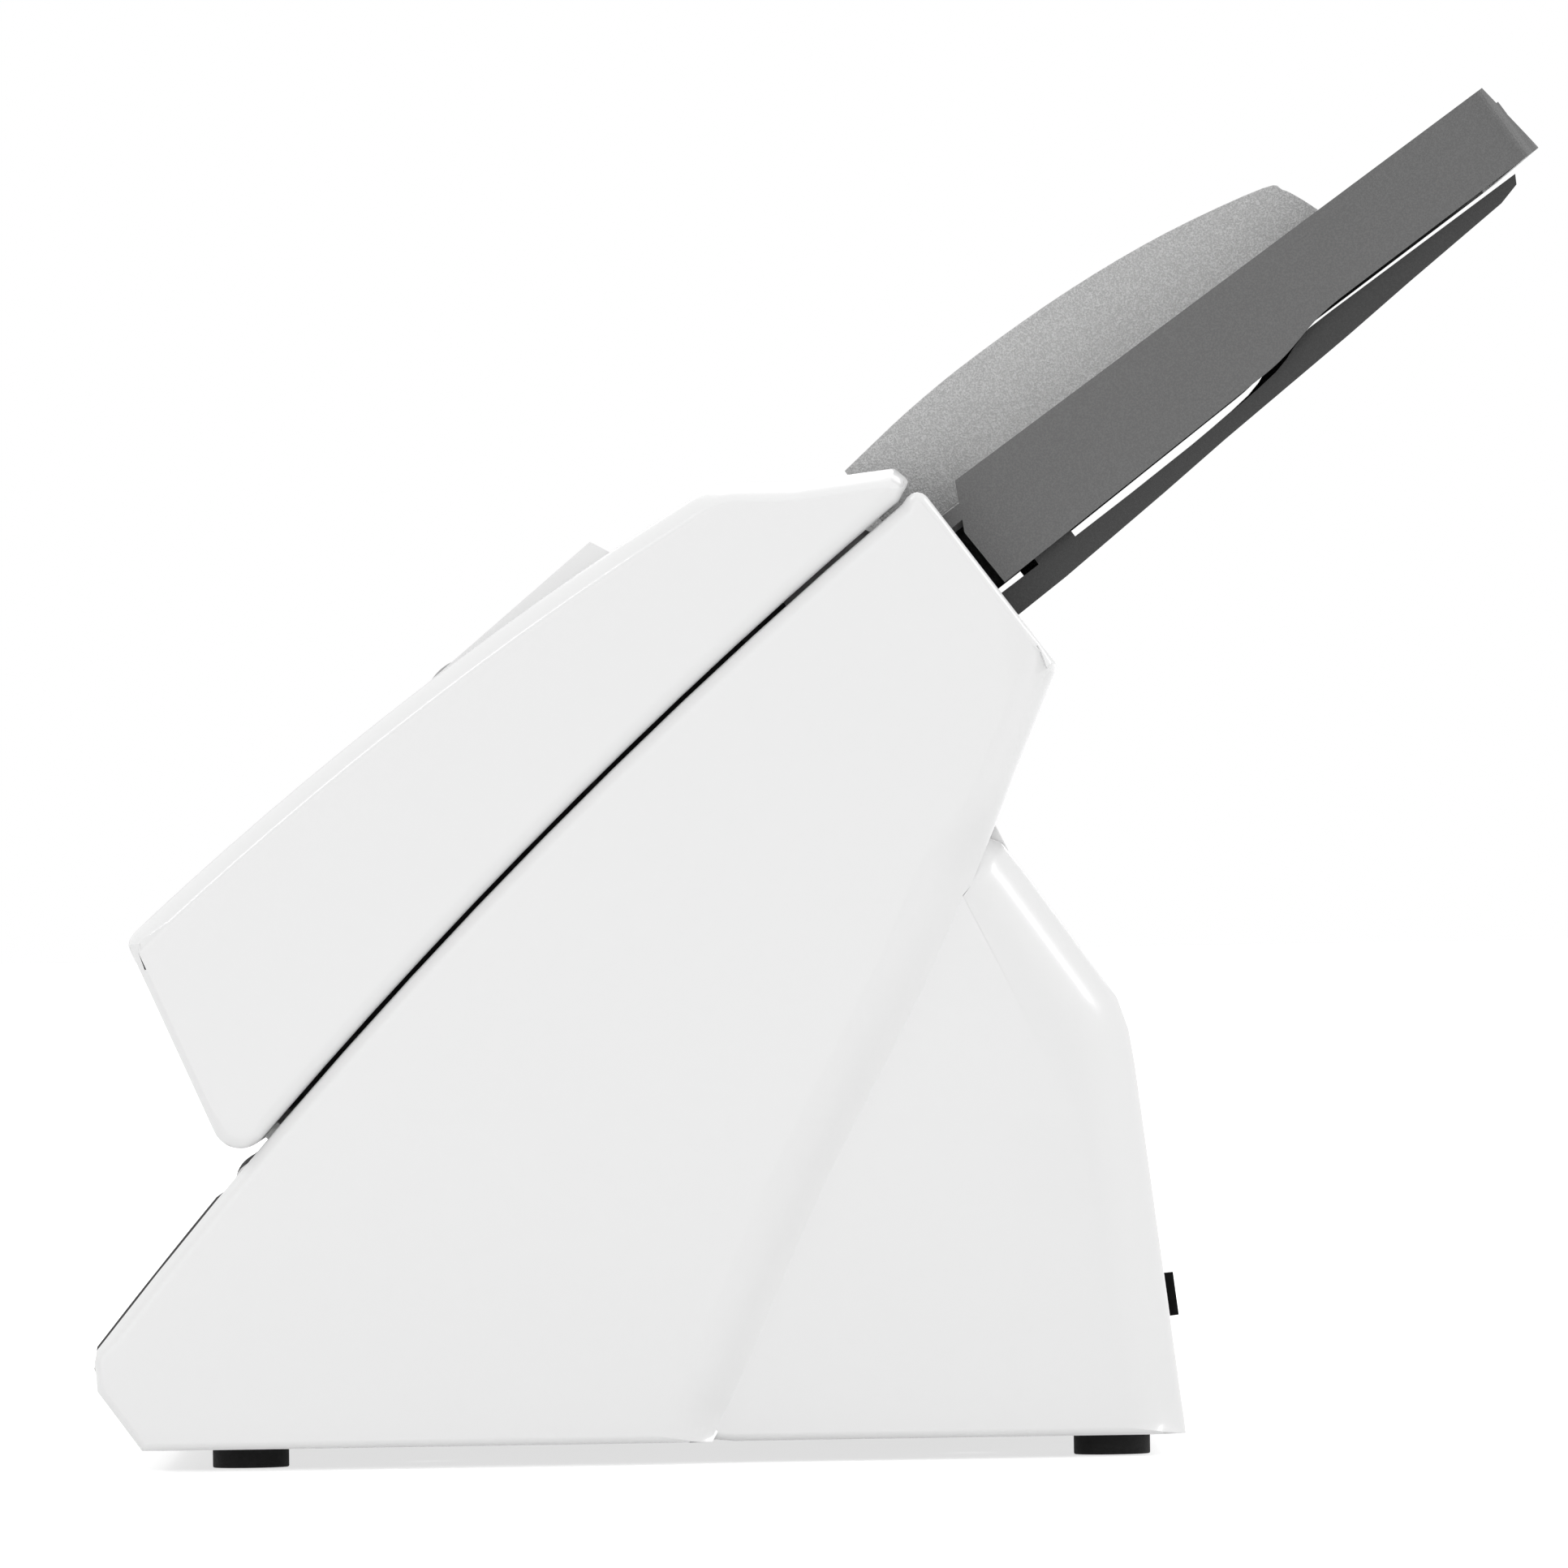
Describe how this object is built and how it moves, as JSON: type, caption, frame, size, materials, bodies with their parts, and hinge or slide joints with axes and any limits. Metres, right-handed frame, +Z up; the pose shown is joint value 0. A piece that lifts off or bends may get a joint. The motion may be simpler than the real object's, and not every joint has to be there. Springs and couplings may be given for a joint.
{
  "type": "sheet-fed document scanner",
  "caption": "Sheet-fed document scanner with hinged front cover, sloped feed tray with geared side guides, drawer exit tray and belt-driven rollers.",
  "frame": {"origin": "centre of the overall box's footprint, on the surface that the feet rest on", "axes": "+X across the width, -Y towards the front where the sheets come out, +Z up"},
  "size_m": [0.3, 0.254, 0.2363],
  "materials": {
    "white_shell": "glossy moulded plastic",
    "dark_tray": "fine textured moulded plastic",
    "grey_trim": "sparked moulded plastic",
    "black_plastic": "satin moulded plastic",
    "frame_steel": "zinc plated sheet",
    "shaft_steel": "ground",
    "roller_rubber": "matt",
    "foot_rubber": "matt",
    "bush_bronze": "sintered",
    "gear_plastic": "natural acetal",
    "scan_glass": "clear",
    "circuit_board": "solder mask"
  },
  "bodies": {
    "base": {"base_pan": "white_shell", "side_cover_left": "white_shell", "side_cover_right": "white_shell", "rear_cover": "white_shell", "front_apron": "dark_tray", "chassis_deck": "frame_steel", "frame_plate_left": "frame_steel", "frame_plate_right": "frame_steel", "bearing_bushes": "bush_bronze", "lower_paper_guide": "dark_tray", "lower_scan_glass": "scan_glass", "lower_image_sensor": "black_plastic", "feed_motor": "frame_steel", "main_board": "circuit_board", "dc_inlet": "black_plastic", "usb_socket": "frame_steel", "power_switch_housing": "black_plastic", "rubber_feet": "foot_rubber", "case_screws": "frame_steel", "door_hinge_pins": "shaft_steel", "drive_belt": "roller_rubber", "exit_belt": "roller_rubber", "feed_tray": "dark_tray"},
    "door": {"door_cover": "white_shell", "door_paper_guide": "dark_tray", "door_scan_glass": "scan_glass", "door_image_sensor": "black_plastic", "control_panel": "grey_trim", "panel_board": "circuit_board"},
    "pick_set": {"pick_shaft": "shaft_steel", "pick_roller": "roller_rubber", "pick_pulley": "gear_plastic"},
    "drive_set_upper": {"drive_shaft_upper": "shaft_steel", "drive_roller_upper": "roller_rubber", "drive_pulley_upper": "gear_plastic"},
    "drive_set_lower": {"drive_shaft_lower": "shaft_steel", "drive_roller_lower": "roller_rubber", "drive_pulley_lower": "gear_plastic", "exit_drive_pulley": "gear_plastic"},
    "exit_set": {"exit_shaft": "shaft_steel", "exit_roller": "roller_rubber", "exit_pulley": "gear_plastic"},
    "motor_rotor": {"motor_shaft": "shaft_steel", "motor_pulley": "gear_plastic"},
    "separation_roller": {"separation_roller": "roller_rubber"},
    "idler_roller_upper": {"idler_roller_upper": "roller_rubber"},
    "idler_roller_lower": {"idler_roller_lower": "roller_rubber"},
    "latch_bar": {"latch_bar": "grey_trim"},
    "release_button": {"release_button": "grey_trim"},
    "start_button": {"start_button": "black_plastic"},
    "menu_button": {"menu_button": "grey_trim"},
    "stop_button": {"stop_button": "black_plastic"},
    "power_rocker": {"power_rocker": "black_plastic"},
    "side_guide_left": {"side_guide_left": "grey_trim"},
    "side_guide_right": {"side_guide_right": "grey_trim"},
    "guide_pinion": {"guide_pinion": "gear_plastic"},
    "tray_extension": {"tray_extension": "dark_tray"},
    "exit_tray": {"exit_tray": "dark_tray"},
    "exit_tray_extension": {"exit_tray_extension": "dark_tray"},
    "paper_sensor_flag": {"paper_sensor_flag": "black_plastic"}
  },
  "joints": [
    {"name": "door_hinge", "type": "hinge", "parent": "base", "child": "door", "pos_m": [0, -0.10063, 0.06086], "axis": [1, 0, 0], "range_deg": [0, 90]},
    {"name": "drive_turn_lower", "type": "hinge", "parent": "base", "child": "drive_set_lower", "pos_m": [0, -0.07239, 0.06525], "axis": [1, 0, 0], "continuous": true},
    {"name": "drive_turn_upper", "type": "hinge", "parent": "base", "child": "drive_set_upper", "pos_m": [0, -0.03067, 0.10792], "axis": [1, 0, 0], "continuous": true},
    {"name": "pick_turn", "type": "hinge", "parent": "base", "child": "pick_set", "pos_m": [0, -0.00153, 0.13209], "axis": [1, 0, 0], "continuous": true},
    {"name": "exit_turn", "type": "hinge", "parent": "base", "child": "exit_set", "pos_m": [0, -0.09803, 0.04923], "axis": [1, 0, 0], "continuous": true},
    {"name": "motor_turn", "type": "hinge", "parent": "base", "child": "motor_rotor", "pos_m": [0, -0.013, 0.05376], "axis": [1, 0, 0], "continuous": true},
    {"name": "separation_turn", "type": "hinge", "parent": "door", "child": "separation_roller", "pos_m": [0, -0.01168, 0.14354], "axis": [1, 0, 0], "continuous": true},
    {"name": "idler_turn_upper", "type": "hinge", "parent": "door", "child": "idler_roller_upper", "pos_m": [0, -0.03988, 0.11752], "axis": [1, 0, 0], "continuous": true},
    {"name": "idler_turn_lower", "type": "hinge", "parent": "door", "child": "idler_roller_lower", "pos_m": [0, -0.08219, 0.07424], "axis": [1, 0, 0], "continuous": true},
    {"name": "release_press", "type": "slide", "parent": "door", "child": "release_button", "axis": [0, 0.5285, -0.849], "range_m": [0, 0.0025], "stiffness_N_per_m": 400},
    {"name": "latch_turn", "type": "hinge", "parent": "door", "child": "latch_bar", "pos_m": [0, -0.02726, 0.14569], "axis": [-1, 0, 0], "range_deg": [0, 4.5]},
    {"name": "start_press", "type": "slide", "parent": "door", "child": "start_button", "axis": [0, 0.6448, -0.7643], "range_m": [0, 0.0008], "stiffness_N_per_m": 400},
    {"name": "menu_press", "type": "slide", "parent": "door", "child": "menu_button", "axis": [0, 0.6448, -0.7643], "range_m": [0, 0.0008], "stiffness_N_per_m": 400},
    {"name": "stop_press", "type": "slide", "parent": "door", "child": "stop_button", "axis": [0, 0.6448, -0.7643], "range_m": [0, 0.0008], "stiffness_N_per_m": 400},
    {"name": "power_rock", "type": "hinge", "parent": "base", "child": "power_rocker", "pos_m": [0.096, 0.05737, 0.02688], "axis": [0, 0.1218, -0.9925], "range_deg": [0, 17]},
    {"name": "guide_slide_right", "type": "slide", "parent": "base", "child": "side_guide_right", "axis": [-1, 0, 0], "range_m": [0, 0.08]},
    {"name": "guide_slide_left", "type": "slide", "parent": "base", "child": "side_guide_left", "axis": [1, 0, 0], "range_m": [0, 0.08]},
    {"name": "guide_pinion_turn", "type": "hinge", "parent": "base", "child": "guide_pinion", "pos_m": [0, 0.05902, 0.18335], "axis": [0, -0.585, 0.8111], "range_deg": [0, 917]},
    {"name": "tray_extension_slide", "type": "slide", "parent": "base", "child": "tray_extension", "axis": [0, 0.8111, 0.585], "range_m": [0, 0.09]},
    {"name": "exit_tray_slide", "type": "slide", "parent": "base", "child": "exit_tray", "axis": [0, -1, 0], "range_m": [0, 0.14]},
    {"name": "exit_extension_slide", "type": "slide", "parent": "exit_tray", "child": "exit_tray_extension", "axis": [0, -1, 0], "range_m": [0, 0.1]},
    {"name": "flag_tip", "type": "hinge", "parent": "base", "child": "paper_sensor_flag", "pos_m": [0, -0.0171, 0.12111], "axis": [1, 0, 0], "range_deg": [0, 20], "stiffness_Nm_per_rad": 0.002}
  ],
  "couplings": [
    {"joint": "drive_turn_upper", "follows": "drive_turn_lower", "ratio": 1},
    {"joint": "pick_turn", "follows": "drive_turn_lower", "ratio": 0.8},
    {"joint": "exit_turn", "follows": "drive_turn_lower", "ratio": 1.6326},
    {"joint": "motor_turn", "follows": "drive_turn_lower", "ratio": 1.2},
    {"joint": "latch_turn", "follows": "release_press", "rad_per_m": 31.416},
    {"joint": "guide_slide_left", "follows": "guide_slide_right", "ratio": 1},
    {"joint": "guide_pinion_turn", "follows": "guide_slide_right", "rad_per_m": 200}
  ]
}
